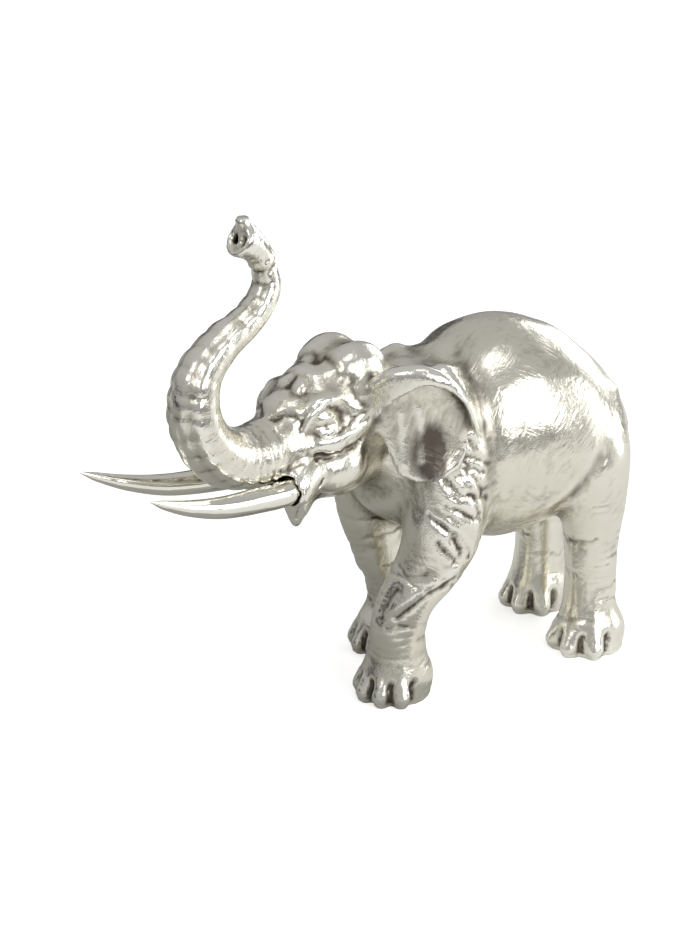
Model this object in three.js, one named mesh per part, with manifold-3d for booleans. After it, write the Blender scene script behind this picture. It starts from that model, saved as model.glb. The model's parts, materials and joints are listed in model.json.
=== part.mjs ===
// A trumpeting elephant cast in silver, standing on its own four feet, with two polished tusks let into its lips.
// It faces -X, its left side is -Y, +Z is up, and it stands on z = 0 with its origin at the middle of its footprint.
// Units are millimetres.
import * as THREE from 'three';
import { LoftGeometry } from 'three/addons/geometries/LoftGeometry.js';
import { mergeVertices } from 'three/addons/utils/BufferGeometryUtils.js';
import Module from 'manifold-3d';

// Driving sizes.
const STATURE = 150; // from the soles to the top of the back
const HEAD_TURN = 16; // degrees, towards the elephant's left
const SOCKET_DEPTH = 15; // how far each tusk's root goes into the lip
const SOCKET_CLEARANCE = 0.4; // all round a tusk's root
const TUSK_THICKNESS = 10.5; // across a tusk where it leaves the lip
const LIP_WALL = 1.6; // the lip around each socket

// The figure is laid out in modules, each a hundredth of its stature.
const MODULE = STATURE / 100;

const SILVER = new THREE.MeshStandardMaterial({ color: 0xb9b6ab, roughness: 0.34, metalness: 1 });
const POLISHED = new THREE.MeshStandardMaterial({ color: 0xcfccc2, roughness: 0.1, metalness: 1 });

const ACROSS = new THREE.Vector3(0, 1, 0);

// Stations are [x, y, z, half width across, half depth fore and aft], in modules.
// The neck and the barrel of the body, from inside the head to the rump.
const TORSO = [
  [-47, -1.5, 74, 11, 14],
  [-40, 0, 72.2, 16.4, 20.2],
  [-31.4, 0, 68.8, 21.4, 24.4],
  [-19.1, 0, 67.3, 24.6, 29.2],
  [-5.5, 0, 67.1, 26.3, 32.1],
  [7.4, 0, 65.1, 26.4, 29.2],
  [17, 0, 62.8, 24.4, 23.6],
  [25, 0, 60.4, 20, 18],
  [31, 0, 58.8, 15, 12.8],
  [34.4, 0, 58, 8, 6.4],
];

// A leg's last station is its sole, which the ground cuts flat.
const LEFT_FORELEG = [
  [-27, -7, 90, 6, 8],
  [-27.5, -13.5, 79, 9, 11],
  [-28.7, -17, 65.5, 9.2, 11.4],
  [-30.5, -17.7, 50.5, 9.6, 12.1],
  [-34.6, -17, 39.6, 9.2, 9.8],
  [-40.7, -15.7, 30, 8.2, 7.4],
  [-43.1, -14.3, 21.8, 7.6, 8],
  [-43.4, -14, 14.5, 7.7, 8],
  [-43.4, -14, 6, 9.4, 10.6],
  [-43.8, -14, -1, 8.9, 9.8],
];

const RIGHT_FORELEG = [
  [-29, 7, 89, 6, 8],
  [-31, 13, 77, 9, 11],
  [-34.1, 15, 62.8, 9, 11.6],
  [-35.5, 14.3, 49.1, 9.2, 10.9],
  [-32.8, 13.7, 34.1, 8.2, 9.2],
  [-29.7, 12.3, 22.5, 7.4, 8.1],
  [-29, 12, 14.3, 7.2, 7.5],
  [-30.6, 11.8, 6, 9.2, 10.2],
  [-31, 11.8, -1, 8.7, 9.4],
];

const LEFT_HINDLEG = [
  [16.4, -10, 78, 8, 13],
  [15, -13.7, 68.3, 9.6, 14.6],
  [16.4, -16.4, 57.3, 9.6, 13.6],
  [18.6, -16.4, 46.4, 8.9, 10.6],
  [19.4, -15.9, 34.1, 7.6, 8.2],
  [19.6, -15.8, 20.5, 7.3, 7.6],
  [19.3, -16.2, 13, 7.7, 8],
  [19.2, -16.8, 6, 9.8, 10.8],
  [19, -16.9, -1, 9.4, 10.2],
];

const RIGHT_HINDLEG = [
  [16.4, 10, 78, 8, 13],
  [15, 13.7, 68.3, 9.6, 14.6],
  [17, 15.3, 57.3, 9.6, 13.6],
  [20.2, 15.2, 46.4, 8.9, 10.4],
  [21.9, 14.4, 34.1, 7.5, 8.2],
  [22.4, 13.8, 21.8, 7.2, 7.5],
  [22.1, 13.4, 13, 7.5, 7.8],
  [21.9, 13.2, 6, 9.1, 10],
  [21.7, 13.2, -1, 8.7, 9.4],
];

const FORE_TOES = 5;
const HIND_TOES = 4;
const TOE_SET = 0.86; // how far out in the foot a toe's middle stands
const TOE_HEIGHT = 3.4;
const TOE_RADII = [3, 2.9, 5.2];

// The tail swings to the right, and its tuft lies against the thigh.
const TAIL = [
  [28.5, 0, 76.5, 2.4, 2.4],
  [34.8, 1, 68.5, 2.2, 2.2],
  [38, 3, 60, 1.9, 1.9],
  [37, 6, 49, 1.6, 1.6],
  [34, 9, 40, 1.5, 1.5],
  [31.4, 11, 33, 2.3, 1.9],
  [29.4, 12.4, 26, 0.7, 0.7],
];

// The head's own stations are [forward, left, up, half width, half depth], from its pivot in the neck.
const HEAD_PIVOT = [-41, 0, 75.1];
const TRUNK = [
  [24, 0, 1, 9.6, 11],
  [34, 0, 2.6, 9.4, 10.4],
  [43, 0, 4.1, 8.8, 9.2],
  [51, 0, 4.6, 8.4, 8.4],
  [58.6, 0, 7.6, 8, 8],
  [64.6, 0, 14.2, 7.5, 7.4],
  [67, 0, 22.8, 6.9, 6.7],
  [64.8, 0, 31.2, 6.1, 6],
  [57, 0, 37.4, 5.3, 5.2],
  [47, 0, 41.9, 4.6, 4.5],
  [41.4, 0, 47.8, 4.1, 4],
  [42, 0, 53.2, 3.7, 3.5],
  [44.2, 0, 57.8, 3.9, 4],
  [47.4, 0, 61, 4.2, 4.6],
  [51.2, 0, 63.2, 4.5, 5.6],
];
const TRUNK_RINGS = 28;
const RING_HEIGHT = 0.04; // as a share of the trunk's own radius
const RING_ON_BACK = 0.35; // how much of that height is left along the trunk's back
const TRUNK_FLATTENING = 0.07; // how much the trunk's underside loses, as a share of its radius

const FOREHEAD = [
  [16, 0, 13, 9.8, 12],
  [25, 0, 13.4, 9.6, 10.2],
  [32, 0, 11.6, 9, 8.6],
  [38, 0, 9.4, 7.6, 7.2],
];
const JAW = [
  [10, 0, -4.4, 10, 9.6],
  [18, 0, -6.4, 9.6, 9],
  [25, 0, -6, 8.6, 8.2],
  [31, 0, -4.6, 7.2, 7],
];
const LOWER_LIP = [
  [30, 0, -3, 6, 7],
  [30.6, 0, -9, 4.7, 6.4],
  [31.2, 0, -14.5, 3.3, 4.6],
  [31.8, 0, -18.8, 1.7, 2.3],
  [32, 0, -20.9, 0.7, 0.9],
];
const BROW = [
  [37, 7, 8.4, 1.4, 1.4],
  [36.6, 8.2, 12.6, 1.8, 1.8],
  [33.6, 9, 16.2, 1.9, 1.9],
  [28.6, 9.4, 17, 1.8, 1.8],
  [24, 9.8, 14.4, 1.6, 1.6],
  [21.2, 9.8, 10, 1.4, 1.4],
];
const CHEEKBONE = [
  [38, 8.6, 5.6, 1.5, 1.5],
  [32, 10.6, 6.6, 2.3, 2.3],
  [25.6, 11.4, 6.8, 2.7, 2.7],
  [20, 11.6, 8.4, 2.8, 2.8],
  [15.4, 11, 11.4, 2.8, 2.8],
];
// An ear's stations are [forward, left, lowest, highest, half thickness], from its root at the temple.
const EAR = [
  [15.6, 11.2, 7, 17, 2.2],
  [14.6, 15, 2, 21.4, 1.7],
  [13, 18.5, -6.4, 23.4, 1.4],
  [10, 22.4, -8, 24, 1.3],
  [6.6, 25.1, -7.9, 22.4, 1.2],
  [3, 26.4, -7, 18.8, 1.2],
  [0, 27, -5.6, 14.4, 1.1],
  [-2, 27.2, -2.6, 9, 1],
  [-3, 27.1, 0.6, 4.6, 0.7],
];
const EAR_HOLLOW = 2.2; // how far the middle of an ear sinks below its edges
const EAR_RIM = 1.7; // the radius of its rolled edge where it leaves the temple
const EAR_RIM_TAPER = 0.6; // how much of that radius it loses towards its end
const EAR_RIM_PROUD = 0.5; // how far it stands out past the shell
const EAR_LAID_BACK = 38; // degrees, the far ear against the stretched side of the neck
const EAR_LOWERED = 4.5; // how much lower that ear hangs

// The dished tip of the trunk, and the two nostrils that open from it.
const TIP_DISH = [[53.4, 0, 64.8], [3.2, 3.6, 5.4]];
const TIP_DISH_TILT = -20; // degrees
const NOSTRIL = [
  [53, 1.9, 64.4, 1.3, 2],
  [46.6, 1.5, 60, 0.8, 1.2],
];

// Rounded masses of the head, each [its middle, its three radii].
const SKULL = [[14, 0, 8], [18, 12.4, 17]];
const FACE = [[25, 0, 3], [12, 10.6, 12.4]];
const DOME = [[15, 4.8, 18], [11, 7.2, 10.2]]; // one of the two on the crown
const FOREHEAD_BOSS = [[27, 0, 17.4], [7, 7.8, 6.8]];
const TRUNK_BOSS = [[36, 0, 13.4], [5.4, 6.8, 5.4]]; // where the trunk springs from the forehead
const BROW_BUMP = [[31.6, 2.8, 18.2], [3.4, 3, 3.2]];
const EYE = [[30.4, 8.6, 10.6], [3, 2.4, 2.6]];
const JOWL = [[25.2, 8.8, -2.8], [10.2, 5.8, 7]];

// A tusk runs from the lip to its tip, [forward, left, up, share of its thickness].
const TUSK = [
  [43.2, 8.9, -4.2, 1],
  [55.6, 9.5, -2.8, 0.95],
  [68, 10.4, -0.4, 0.82],
  [79.4, 11.4, 3.4, 0.6],
  [87.9, 12.4, 7.2, 0.36],
  [93.7, 13.2, 10.2, 0.1],
];
const TUSK_ROOT = [-1, -0.07, 0.2]; // the way its root runs from the lip, forward, left and up

const wasm = await Module();
wasm.setup();

const vector = ([x, y, z]) => new THREE.Vector3(x, y, z).multiplyScalar(MODULE);

// Only the corners of a geometry, each once.
function bare(geometry) {
  const plain = new THREE.BufferGeometry();
  plain.setAttribute('position', geometry.getAttribute('position').clone());
  plain.setIndex(geometry.index.clone());
  return mergeVertices(plain, 1e-4);
}

// A closed skin through the stations, with its sections square to the path between them.
function limb(stations, { sides = 11, cuts = 2, across = ACROSS, grow = 0, relief = () => 1 } = {}) {
  const path = new THREE.CatmullRomCurve3(stations.map(vector));
  const size = new THREE.CatmullRomCurve3(stations.map(([, , , wide, deep]) => vector([wide, deep, 0])));
  const steps = (stations.length - 1) * cuts;
  const sections = [];
  for (let i = 0; i <= steps; i++) {
    const tangent = path.getTangent(i / steps);
    const fore = new THREE.Vector3().crossVectors(tangent, across).normalize();
    const side = new THREE.Vector3().crossVectors(fore, tangent);
    const centre = path.getPoint(i / steps);
    const { x: wide, y: deep } = size.getPoint(i / steps);
    const section = [];
    for (let j = 0; j < sides; j++) {
      const angle = (j / sides) * Math.PI * 2;
      const swell = relief(i / steps, angle);
      const point = centre.clone();
      point.addScaledVector(side, Math.cos(angle) * (wide * swell + grow));
      point.addScaledVector(fore, Math.sin(angle) * (deep * swell + grow));
      section.push(point);
    }
    sections.push(section);
  }
  return bare(new LoftGeometry(sections, { capStart: true, capEnd: true }));
}

function lump([x, y, z], [rx, ry, rz], { tilt = 0, turn = 0, sides = 9 } = {}) {
  return bare(
    new THREE.SphereGeometry(1, sides, Math.ceil(sides * 0.6))
      .scale(rx * MODULE, ry * MODULE, rz * MODULE)
      .rotateY(THREE.MathUtils.degToRad(tilt))
      .rotateZ(THREE.MathUtils.degToRad(turn))
      .translate(x * MODULE, y * MODULE, z * MODULE),
  );
}

function solid(geometry) {
  return new wasm.Manifold(
    new wasm.Mesh({
      numProp: 3,
      vertProperties: geometry.getAttribute('position').array,
      triVerts: new Uint32Array(geometry.index.array),
    }),
  );
}

function geometryOf(manifold) {
  const { vertProperties, triVerts } = manifold.getMesh();
  const geometry = new THREE.BufferGeometry();
  geometry.setAttribute('position', new THREE.BufferAttribute(vertProperties, 3));
  geometry.setIndex(new THREE.BufferAttribute(triVerts, 1));
  geometry.computeVertexNormals();
  return geometry;
}

const join = (geometries) => geometries.map(solid).reduce((whole, piece) => whole.add(piece));

// The head is shaped facing -X with its left at -Y, then set on its pivot and turned.
const headMatrix = new THREE.Matrix4()
  .makeTranslation(vector(HEAD_PIVOT))
  .multiply(new THREE.Matrix4().makeRotationZ(THREE.MathUtils.degToRad(HEAD_TURN)));
const headStation = ([forward, left, up, ...size]) => [-forward, -left, up, ...size];
const headLimb = (stations, options) => limb(stations.map(headStation), options);
const headLump = (centre, radii, options) => lump(headStation(centre), radii, options);

function mirrored(geometry) {
  const other = geometry.clone().scale(1, -1, 1);
  const corners = other.index.array;
  for (let i = 0; i < corners.length; i += 3) {
    [corners[i], corners[i + 1]] = [corners[i + 1], corners[i]];
  }
  return other;
}
const pair = (geometry) => [geometry, mirrored(geometry)];

// The trunk's underside is flatter than its back, and rings run across it.
function trunkRelief(along, angle) {
  const under = Math.max(0, Math.sin(angle));
  const flattened = 1 - TRUNK_FLATTENING * under ** 3;
  const ring = Math.abs(Math.sin(along * Math.PI * TRUNK_RINGS)) - 0.5;
  return flattened + RING_HEIGHT * ring * (RING_ON_BACK + (1 - RING_ON_BACK) * under);
}

// An ear is a dished shell, thin at its edges, that fans back from the temple.
function earShell(stations, corners = 10) {
  const path = new THREE.CatmullRomCurve3(stations.map(([f, l]) => vector([-f, -l, 0])));
  const reach = new THREE.CatmullRomCurve3(stations.map(([, , low, high, thick]) => vector([low, high, thick])));
  const steps = Math.round((stations.length - 1) * 1.5);
  const sections = [];
  for (let i = 0; i <= steps; i++) {
    const tangent = path.getTangent(i / steps);
    const inward = new THREE.Vector3(-tangent.y, tangent.x, 0);
    const { x: low, y: high, z: thick } = reach.getPoint(i / steps);
    const section = [];
    for (let j = 0; j < corners; j++) {
      const angle = ((j + 0.5) / corners) * Math.PI * 2;
      const height = -Math.cos(angle);
      const sunk = EAR_HOLLOW * MODULE * (1 - height ** 2) * Math.sin((i / steps) * Math.PI);
      const point = path.getPoint(i / steps);
      point.addScaledVector(inward, Math.sin(angle) * thick + sunk);
      point.z = (low + high) / 2 + (height * (high - low)) / 2;
      section.push(point);
    }
    sections.push(section);
  }
  return bare(new LoftGeometry(sections, { capStart: true, capEnd: true }));
}

// The rolled rim follows the ear's top and outer edge, thinner towards its end.
function earRim(stations) {
  const edge = stations.map(([f, l, , high], i) => {
    const radius = EAR_RIM * (1 - (EAR_RIM_TAPER * i) / stations.length);
    return [f, l + EAR_RIM_PROUD, high - radius / 2, radius, radius];
  });
  return headLimb(edge, { sides: 6, cuts: 1 });
}

// The right ear is the left one's mirror image, laid back about its root and hung lower.
function laidBack([forward, left, low, high, thick]) {
  const [rootForward, rootLeft] = EAR[0];
  const angle = THREE.MathUtils.degToRad(EAR_LAID_BACK);
  const [along, out] = [forward - rootForward, left - rootLeft];
  return [
    rootForward + along * Math.cos(angle) - out * Math.sin(angle),
    rootLeft + along * Math.sin(angle) + out * Math.cos(angle),
    low - EAR_LOWERED,
    high - EAR_LOWERED,
    thick,
  ];
}

// Toes stand round the front of a foot, spread over half its edge.
function toes([x, y, , wide, deep], count) {
  const made = [];
  for (let i = 0; i < count; i++) {
    const turn = ((i - (count - 1) / 2) * 180) / count;
    const angle = THREE.MathUtils.degToRad(turn);
    const forward = Math.cos(angle) * deep * TOE_SET;
    const sideways = Math.sin(angle) * wide * TOE_SET;
    made.push(lump([x - forward, y - sideways, TOE_HEIGHT], TOE_RADII, { turn, sides: 8 }));
  }
  return made;
}

// Each tusk's root ends inside the lip, and its socket is the same shape with the clearance all round.
const tuskRadius = TUSK_THICKNESS / 2 / MODULE;
function tuskStations(depth) {
  const lip = new THREE.Vector3(...TUSK[0]);
  const root = lip.addScaledVector(new THREE.Vector3(...TUSK_ROOT).normalize(), depth / MODULE);
  const stations = TUSK.map(([f, l, u, share]) => [f, l, u, share * tuskRadius, share * tuskRadius]);
  return [[root.x, root.y, root.z, tuskRadius, tuskRadius], ...stations];
}
const tusks = pair(headLimb(tuskStations(SOCKET_DEPTH - SOCKET_CLEARANCE)));
const sockets = pair(headLimb(tuskStations(SOCKET_DEPTH), { grow: SOCKET_CLEARANCE }));

// The lip swells round each tusk's root, and runs back under the cheek.
const lipRadius = tuskRadius + (SOCKET_CLEARANCE + LIP_WALL) / MODULE;
const [[rootForward, rootLeft, rootUp], [lipForward, lipLeft, lipUp]] = tuskStations(SOCKET_DEPTH);
const LIP = [
  [rootForward - 4, rootLeft - 1, rootUp + 1, lipRadius, lipRadius * 1.1],
  [rootForward + 4, rootLeft, rootUp, lipRadius, lipRadius * 1.08],
  [lipForward - 2, lipLeft, lipUp, lipRadius, lipRadius],
  [lipForward + 0.4, lipLeft, lipUp, lipRadius * 0.88, lipRadius * 0.88],
];

const head = [
  headLimb(TRUNK, { cuts: 4, relief: trunkRelief }),
  headLump(...SKULL, { sides: 12 }),
  headLump(...FACE, { sides: 12 }),
  ...pair(headLump(...DOME, { sides: 10 })),
  headLimb(FOREHEAD),
  headLump(...FOREHEAD_BOSS),
  headLump(...TRUNK_BOSS),
  ...pair(headLump(...BROW_BUMP, { sides: 7 })),
  ...pair(headLimb(BROW, { sides: 6, cuts: 1 })),
  ...pair(headLump(...EYE, { sides: 7 })),
  ...pair(headLimb(CHEEKBONE, { sides: 6, cuts: 1 })),
  ...pair(headLump(...JOWL)),
  headLimb(JAW, { cuts: 1 }),
  headLimb(LOWER_LIP, { sides: 8, cuts: 1 }),
  ...pair(headLimb(LIP, { cuts: 1 })),
  earShell(EAR),
  earRim(EAR),
  mirrored(earShell(EAR.map(laidBack))),
  mirrored(earRim(EAR.map(laidBack))),
].map((geometry) => geometry.applyMatrix4(headMatrix));

const body = [
  limb(TORSO, { sides: 18 }),
  limb(LEFT_FORELEG),
  limb(RIGHT_FORELEG),
  limb(LEFT_HINDLEG),
  limb(RIGHT_HINDLEG),
  limb(TAIL, { sides: 6, cuts: 1 }),
  ...toes(LEFT_FORELEG.at(-1), FORE_TOES),
  ...toes(RIGHT_FORELEG.at(-1), FORE_TOES),
  ...toes(LEFT_HINDLEG.at(-1), HIND_TOES),
  ...toes(RIGHT_HINDLEG.at(-1), HIND_TOES),
];

const hollows = [
  ...sockets,
  headLump(...TIP_DISH, { tilt: TIP_DISH_TILT }),
  ...pair(headLimb(NOSTRIL, { sides: 8, cuts: 1 })),
].map((geometry) => geometry.applyMatrix4(headMatrix));
const ground = bare(new THREE.BoxGeometry(STATURE * 3, STATURE * 3, STATURE).translate(0, 0, -STATURE / 2));

const figure = join([...body, ...head]).subtract(join([...hollows, ground]));

const statue = new THREE.Group();
const elephant = new THREE.Mesh(geometryOf(figure), SILVER);
elephant.name = 'elephant';
statue.add(elephant);
tusks.forEach((geometry, i) => {
  const tusk = new THREE.Mesh(geometry.applyMatrix4(headMatrix), POLISHED);
  tusk.name = ['left_tusk', 'right_tusk'][i];
  statue.add(tusk);
});

const middle = new THREE.Box3().setFromObject(statue).getCenter(new THREE.Vector3());
for (const piece of statue.children) {
  piece.position.set(-middle.x, -middle.y, 0);
}
export default statue;
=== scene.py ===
"""A trumpeting elephant in cast and chased silver, with mirror-polished tusks, on a pale studio floor."""

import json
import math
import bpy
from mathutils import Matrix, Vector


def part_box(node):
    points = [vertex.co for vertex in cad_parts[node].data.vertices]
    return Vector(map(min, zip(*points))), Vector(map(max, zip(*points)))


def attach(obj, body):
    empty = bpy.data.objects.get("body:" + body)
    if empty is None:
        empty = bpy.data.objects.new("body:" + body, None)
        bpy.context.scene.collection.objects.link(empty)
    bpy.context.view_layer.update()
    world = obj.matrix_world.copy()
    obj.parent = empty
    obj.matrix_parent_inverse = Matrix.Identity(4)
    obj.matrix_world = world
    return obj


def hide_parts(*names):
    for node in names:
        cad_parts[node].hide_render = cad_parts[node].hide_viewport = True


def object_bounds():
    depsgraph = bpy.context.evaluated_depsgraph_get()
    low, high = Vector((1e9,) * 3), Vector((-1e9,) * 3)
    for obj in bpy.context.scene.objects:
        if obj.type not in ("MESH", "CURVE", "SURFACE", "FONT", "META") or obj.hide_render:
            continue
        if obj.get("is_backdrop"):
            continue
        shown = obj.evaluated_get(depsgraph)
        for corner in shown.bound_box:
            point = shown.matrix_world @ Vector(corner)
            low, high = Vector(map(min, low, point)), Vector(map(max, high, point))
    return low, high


bl_info = {
    "name": "Silver Elephant",
    "version": (1, 0, 0),
    "blender": (4, 5, 0),
    "location": "View3D > Sidebar > Elephant",
    "description": "Models and finishes a cast silver elephant around its packed solids",
    "category": "Object",
}

import bmesh
import bpy
import numpy as np
from bpy.props import FloatProperty, FloatVectorProperty, IntProperty, PointerProperty
from mathutils import Matrix, Vector, noise
from mathutils.kdtree import KDTree

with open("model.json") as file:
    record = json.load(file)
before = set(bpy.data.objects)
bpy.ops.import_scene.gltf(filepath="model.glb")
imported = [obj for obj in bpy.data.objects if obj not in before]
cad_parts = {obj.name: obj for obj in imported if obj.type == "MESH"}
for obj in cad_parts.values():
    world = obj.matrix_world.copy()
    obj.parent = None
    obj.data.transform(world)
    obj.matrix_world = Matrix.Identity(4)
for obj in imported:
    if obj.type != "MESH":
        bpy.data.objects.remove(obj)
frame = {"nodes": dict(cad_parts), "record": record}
CAD_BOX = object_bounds()

# The figure is laid out in modules, facing -X with its left at -Y, and put in its place at the very end.
TRUNK_TIP_HEIGHT = 143.06  # modules, from the soles
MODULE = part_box("elephant")[1].z / TRUNK_TIP_HEIGHT
MOUNTS = {mount["name"]: Vector(mount["pos_m"]) for mount in frame["record"]["mounts"]}
LEFT_FORE_SOLE = Vector((-43.8, -14, 0))
PLACE = MOUNTS["left_forefoot_sole"] - LEFT_FORE_SOLE * MODULE

# Stations are [x, y, z, half width across, half depth fore and aft].
TORSO = [
    [-47, -1.5, 74, 11, 14],
    [-40, 0, 72.2, 16.4, 20.2],
    [-31.4, 0, 68.8, 21.4, 24.4],
    [-19.1, 0, 67.3, 24.6, 29.2],
    [-5.5, 0, 67.1, 26.3, 32.1],
    [7.4, 0, 65.1, 26.4, 29.2],
    [17, 0, 62.8, 24.4, 23.6],
    [25, 0, 60.4, 20, 18],
    [31, 0, 58.8, 15, 12.8],
    [34.4, 0, 58, 8, 6.4],
]
LEFT_FORELEG = [
    [-27, -7, 90, 6, 8],
    [-27.5, -13.5, 79, 9, 11],
    [-28.7, -17, 65.5, 9.2, 11.4],
    [-30.5, -17.7, 50.5, 9.6, 12.1],
    [-34.6, -17, 39.6, 9.2, 9.8],
    [-40.7, -15.7, 30, 8.2, 7.4],
    [-43.1, -14.3, 21.8, 7.6, 8],
    [-43.4, -14, 14.5, 7.7, 8],
    [-43.4, -14, 6, 9.4, 10.6],
    [-43.8, -14, -1, 8.9, 9.8],
]
RIGHT_FORELEG = [
    [-29, 7, 89, 6, 8],
    [-31, 13, 77, 9, 11],
    [-34.1, 15, 62.8, 9, 11.6],
    [-35.5, 14.3, 49.1, 9.2, 10.9],
    [-32.8, 13.7, 34.1, 8.2, 9.2],
    [-29.7, 12.3, 22.5, 7.4, 8.1],
    [-29, 12, 14.3, 7.2, 7.5],
    [-30.6, 11.8, 6, 9.2, 10.2],
    [-31, 11.8, -1, 8.7, 9.4],
]
LEFT_HINDLEG = [
    [16.4, -10, 78, 8, 13],
    [15, -13.7, 68.3, 9.6, 14.6],
    [16.4, -16.4, 57.3, 9.6, 13.6],
    [18.6, -16.4, 46.4, 8.9, 10.6],
    [19.4, -15.9, 34.1, 7.6, 8.2],
    [19.6, -15.8, 20.5, 7.3, 7.6],
    [19.3, -16.2, 13, 7.7, 8],
    [19.2, -16.8, 6, 9.8, 10.8],
    [19, -16.9, -1, 9.4, 10.2],
]
RIGHT_HINDLEG = [
    [16.4, 10, 78, 8, 13],
    [15, 13.7, 68.3, 9.6, 14.6],
    [17, 15.3, 57.3, 9.6, 13.6],
    [20.2, 15.2, 46.4, 8.9, 10.4],
    [21.9, 14.4, 34.1, 7.5, 8.2],
    [22.4, 13.8, 21.8, 7.2, 7.5],
    [22.1, 13.4, 13, 7.5, 7.8],
    [21.9, 13.2, 6, 9.1, 10],
    [21.7, 13.2, -1, 8.7, 9.4],
]
TAIL = [
    [28.5, 0, 76.5, 2.4, 2.4],
    [34.8, 1, 68.5, 2.2, 2.2],
    [38, 3, 60, 1.9, 1.9],
    [37, 6, 49, 1.6, 1.6],
    [34, 9, 40, 1.5, 1.5],
    [31.4, 11, 33, 2.3, 1.9],
    [29.4, 12.4, 26, 0.7, 0.7],
]
FORE_TOES = 5
HIND_TOES = 4
TOE_SET = 0.86  # how far out in the foot a toe's middle stands
TOE_HEIGHT = 3.4
TOE_RADII = (3, 2.9, 5.2)
NAIL_RADII = (1.5, 2.3, 2.6)

# The head's stations are [forward, left, up, half width, half depth], from its pivot in the neck.
HEAD_PIVOT = Vector((-41, 0, 75.1))
HEAD_TURN = 16  # degrees, towards the elephant's left
TRUNK = [
    [24, 0, 1, 9.6, 11],
    [34, 0, 2.6, 9.4, 10.4],
    [43, 0, 4.1, 8.8, 9.2],
    [51, 0, 4.6, 8.4, 8.4],
    [58.6, 0, 7.6, 8, 8],
    [64.6, 0, 14.2, 7.5, 7.4],
    [67, 0, 22.8, 6.9, 6.7],
    [64.8, 0, 31.2, 6.1, 6],
    [57, 0, 37.4, 5.3, 5.2],
    [47, 0, 41.9, 4.6, 4.5],
    [41.4, 0, 47.8, 4.1, 4],
    [42, 0, 53.2, 3.7, 3.5],
    [44.2, 0, 57.8, 3.9, 4],
    [47.4, 0, 61, 4.2, 4.6],
    [51.2, 0, 63.2, 4.5, 5.6],
]
FOREHEAD = [
    [16, 0, 13, 9.8, 12],
    [25, 0, 13.4, 9.6, 10.2],
    [32, 0, 11.6, 9, 8.6],
    [38, 0, 9.4, 7.6, 7.2],
]
JAW = [
    [10, 0, -4.4, 10, 9.6],
    [18, 0, -6.4, 9.6, 9],
    [25, 0, -6, 8.6, 8.2],
    [31, 0, -4.6, 7.2, 7],
]
LOWER_LIP = [
    [30, 0, -3, 6, 7],
    [30.6, 0, -9, 4.7, 6.4],
    [31.2, 0, -14.5, 3.3, 4.6],
    [31.8, 0, -18.8, 1.7, 2.3],
    [32, 0, -20.9, 0.7, 0.9],
]
BROW = [
    [37, 7, 8.4, 1.4, 1.4],
    [36.6, 8.2, 12.6, 1.8, 1.8],
    [33.6, 9, 16.2, 1.9, 1.9],
    [28.6, 9.4, 17, 1.8, 1.8],
    [24, 9.8, 14.4, 1.6, 1.6],
    [21.2, 9.8, 10, 1.4, 1.4],
]
CHEEKBONE = [
    [38, 8.6, 5.6, 1.5, 1.5],
    [32, 10.6, 6.6, 2.3, 2.3],
    [25.6, 11.4, 6.8, 2.7, 2.7],
    [20, 11.6, 8.4, 2.8, 2.8],
    [15.4, 11, 11.4, 2.8, 2.8],
]
UPPER_LID = [
    [34.6, 8.8, 10.8, 0.7, 0.7],
    [33, 10.2, 12.8, 0.9, 0.9],
    [30.4, 11, 13.2, 0.9, 0.9],
    [27.6, 11.2, 11.4, 0.7, 0.7],
]
LOWER_LID = [
    [34.6, 8.9, 10.6, 0.6, 0.6],
    [32.8, 10.8, 9.4, 0.8, 0.8],
    [30, 11.6, 9.4, 0.8, 0.8],
    [27.4, 11.2, 11, 0.6, 0.6],
]
# An ear's stations are [forward, left, lowest, highest, half thickness], from its root at the temple.
EAR = [
    [15.6, 11.2, 7, 17, 2.2],
    [14.6, 15, 2, 21.4, 1.7],
    [13, 18.5, -6.4, 23.4, 1.4],
    [10, 22.4, -8, 24, 1.3],
    [6.6, 25.1, -7.9, 22.4, 1.2],
    [3, 26.4, -7, 18.8, 1.2],
    [0, 27, -5.6, 14.4, 1.1],
    [-2, 27.2, -2.6, 9, 1],
    [-3, 27.1, 0.6, 4.6, 0.7],
]
EAR_HOLLOW = 2.2
# How far the ear's top edge is folded down over its front, at shares of the way out from the temple.
EAR_FOLD = [(0, 6), (0.1, 10), (0.2, 7.6), (0.3, 5), (0.42, 2.4), (0.6, 1.2), (1, 0.7)]
EAR_HEM_RADIUS = 1.1
EAR_THICKNESS = 1.5
EAR_PROUD = 2.2  # how far the left ear's free edge stands off the shoulder, in modules
EAR_LAID_BACK = 38  # degrees, the right ear
EAR_LOWERED = 4.5

# Rounded masses of the head, each [its middle, its three radii].
SKULL = [(14, 0, 8), (18, 12.4, 17)]
FACE = [(25, 0, 3), (12, 10.6, 12.4)]
DOME = [(15, 4.8, 18), (11, 7.2, 10.2)]
FOREHEAD_BOSS = [(27, 0, 17.4), (7, 7.8, 6.8)]
TRUNK_BOSS = [(36, 0, 13.4), (5.4, 6.8, 5.4)]
BROW_BUMP = [(31.6, 2.8, 18.2), (3.4, 3, 3.2)]
EYEBALL = [(31, 9.4, 11), (1.9, 1.7, 1.8)]
JOWL = [(25.2, 8.8, -2.8), (10.2, 5.8, 7)]
TEMPLE = [(17.4, 9.6, 13.6), (6.4, 4.8, 8)]
CHEEK = [(27.6, 9, 4.6), (7.4, 4.4, 3.6)]

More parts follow.
